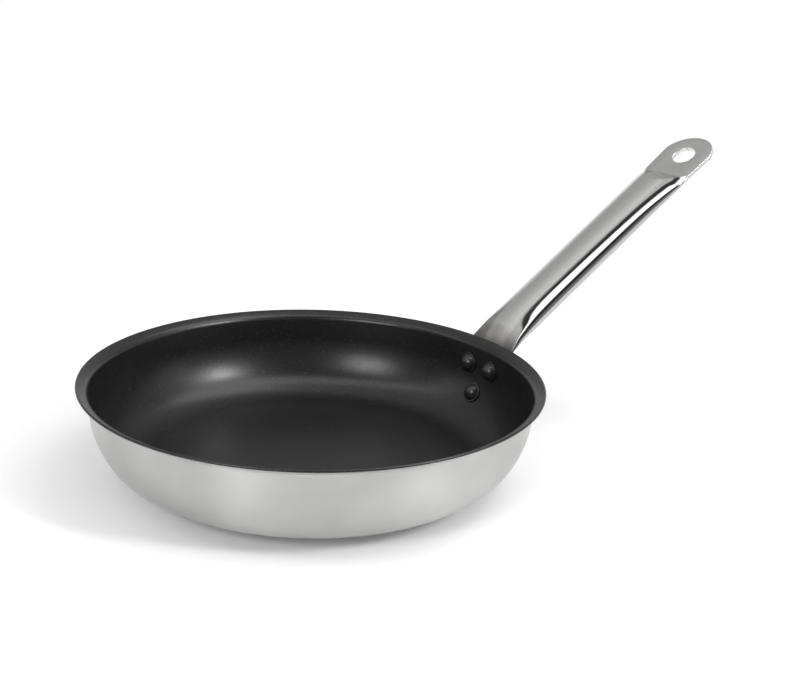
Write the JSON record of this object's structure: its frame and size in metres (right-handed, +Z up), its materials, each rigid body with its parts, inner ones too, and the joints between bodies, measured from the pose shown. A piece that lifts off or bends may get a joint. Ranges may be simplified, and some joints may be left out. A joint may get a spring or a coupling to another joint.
{
  "type": "omelette pan",
  "caption": "Omelette pan: shallow flared bowl with a black non-stick lining, sandwich base and a riveted tube handle that ends in a flat tab with a hanging hole.",
  "frame": {"origin": "on the resting face, under the middle of the bowl", "axes": "+Z up out of the bowl, +X towards the far end of the handle, +Y to the handle's left"},
  "size_m": [0.4027, 0.2404, 0.1581],
  "materials": {
    "bowl_steel": "satin, brushed round the bowl",
    "nonstick_black": "matt non-stick with a fine sparkle",
    "core_aluminium": "bare",
    "base_steel": "satin, turned rings",
    "handle_steel": "brushed along the top, polished sides",
    "rivet_black": "glossy non-stick coat on steel"
  },
  "bodies": {
    "root": {"pan_body": "bowl_steel", "nonstick_coating": "nonstick_black", "base_core": "core_aluminium", "base_cap": "base_steel", "handle": "handle_steel", "rivet_upper_left": "rivet_black", "rivet_upper_right": "rivet_black", "rivet_lower": "rivet_black"}
  },
  "joints": []
}
